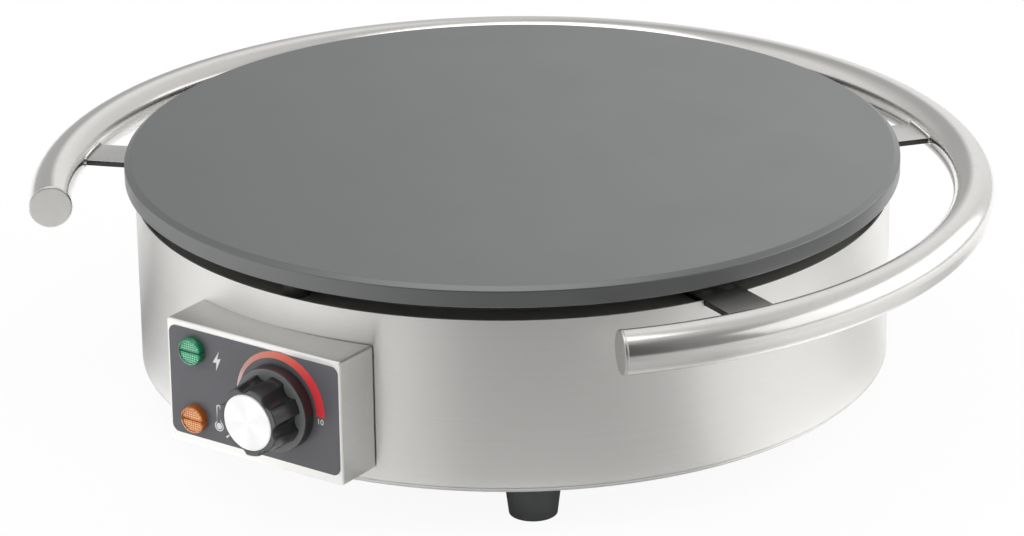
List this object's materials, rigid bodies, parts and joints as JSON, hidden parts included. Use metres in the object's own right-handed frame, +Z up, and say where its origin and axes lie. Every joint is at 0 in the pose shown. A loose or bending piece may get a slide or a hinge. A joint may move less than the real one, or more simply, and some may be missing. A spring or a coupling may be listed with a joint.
{
  "type": "electric crepe maker",
  "caption": "Round electric griddle for crepes: cast iron plate on a steel drum with a thermostat knob, signal lamps and an open ring handle.",
  "frame": {"origin": "on the floor under the centre of the whole outline, with the drum's axis at y = -4.55 mm", "axes": "+Z up along the drum's axis, the control box faces -Y, +X to the right of someone who faces the control box"},
  "size_m": [0.499, 0.4898, 0.1295],
  "materials": {
    "cast_iron": "fine machined, seasoned satin",
    "drum_steel": "brushed round the drum",
    "box_steel": "brushed lengthwise",
    "handle_steel": "satin polished tube",
    "plain_steel": "plain zinc-plated",
    "dark_steel": "heat-proof black",
    "element_sheath": "heat-tinted dark",
    "foot_rubber": "matt moulded",
    "ceramic": "unglazed steatite",
    "fibre": "needled mineral fibre",
    "copper": "drawn copper",
    "brass": "machined",
    "label_film": "satin printed film",
    "scale_ink": "screen print, paler at its thin end",
    "white_ink": "screen print",
    "green_lens": "translucent, prismatic",
    "amber_lens": "translucent, prismatic",
    "black_plastic": "moulded",
    "knob_plastic": "moulded, satin",
    "spun_aluminium": "spun, fine circular lines",
    "bakelite": "moulded",
    "button_red": "moulded",
    "wire_sleeve": "silicone sleeve"
  },
  "bodies": {
    "root": {"cooking_plate": "cast_iron", "plate_standoffs": "dark_steel", "plate_bolts": "dark_steel", "heating_element_outer": "element_sheath", "heating_element_inner": "element_sheath", "element_insulators": "ceramic", "element_pins": "plain_steel", "element_clamp": "plain_steel", "clamp_stud": "plain_steel", "clamp_nut": "plain_steel", "insulation_blanket": "fibre", "heat_shield_pan": "plain_steel", "shield_screws": "plain_steel", "support_ring": "dark_steel", "drum_shell": "drum_steel", "base_plate": "plain_steel", "base_screws": "plain_steel", "base_nuts": "plain_steel", "ring_handle": "handle_steel", "handle_cap_left": "handle_steel", "handle_cap_right": "handle_steel", "bracket_front_left": "handle_steel", "bracket_front_right": "handle_steel", "bracket_rear_left": "handle_steel", "bracket_rear_right": "handle_steel", "bracket_bolts": "dark_steel", "bracket_nuts": "plain_steel", "foot_front_left": "foot_rubber", "foot_front_right": "foot_rubber", "foot_rear_left": "foot_rubber", "foot_rear_right": "foot_rubber", "foot_screws": "plain_steel", "foot_nuts": "plain_steel", "control_box": "box_steel", "panel_label": "label_film", "dial_scale": "scale_ink", "panel_symbols": "white_ink", "lamp_green_lens": "green_lens", "lamp_amber_lens": "amber_lens", "lamp_green_body": "black_plastic", "lamp_amber_body": "black_plastic", "thermostat_body": "bakelite", "thermostat_screws": "plain_steel", "thermostat_bulb": "copper", "thermostat_capillary": "copper", "bulb_clips": "plain_steel", "bulb_clip_screws": "plain_steel", "cutout_body": "bakelite", "cutout_nut": "plain_steel", "cutout_bulb": "copper", "terminal_block": "ceramic", "terminal_clamps": "brass", "cable_gland": "black_plastic", "gland_cap": "black_plastic", "earth_stud": "brass", "wiring": "wire_sleeve"},
    "knob": {"knob": "knob_plastic", "knob_insert": "spun_aluminium", "thermostat_shaft": "plain_steel"},
    "reset_button": {"reset_button": "button_red"}
  },
  "joints": [
    {"name": "knob_turn", "type": "hinge", "parent": "root", "child": "knob", "pos_m": [0.0127, -0.21955, 0.06305], "axis": [0, 1, 0], "range_deg": [0, 220]},
    {"name": "reset_press", "type": "slide", "parent": "root", "child": "reset_button", "axis": [0, 0, 1], "range_m": [0, 0.002], "stiffness_N_per_m": 500}
  ]
}
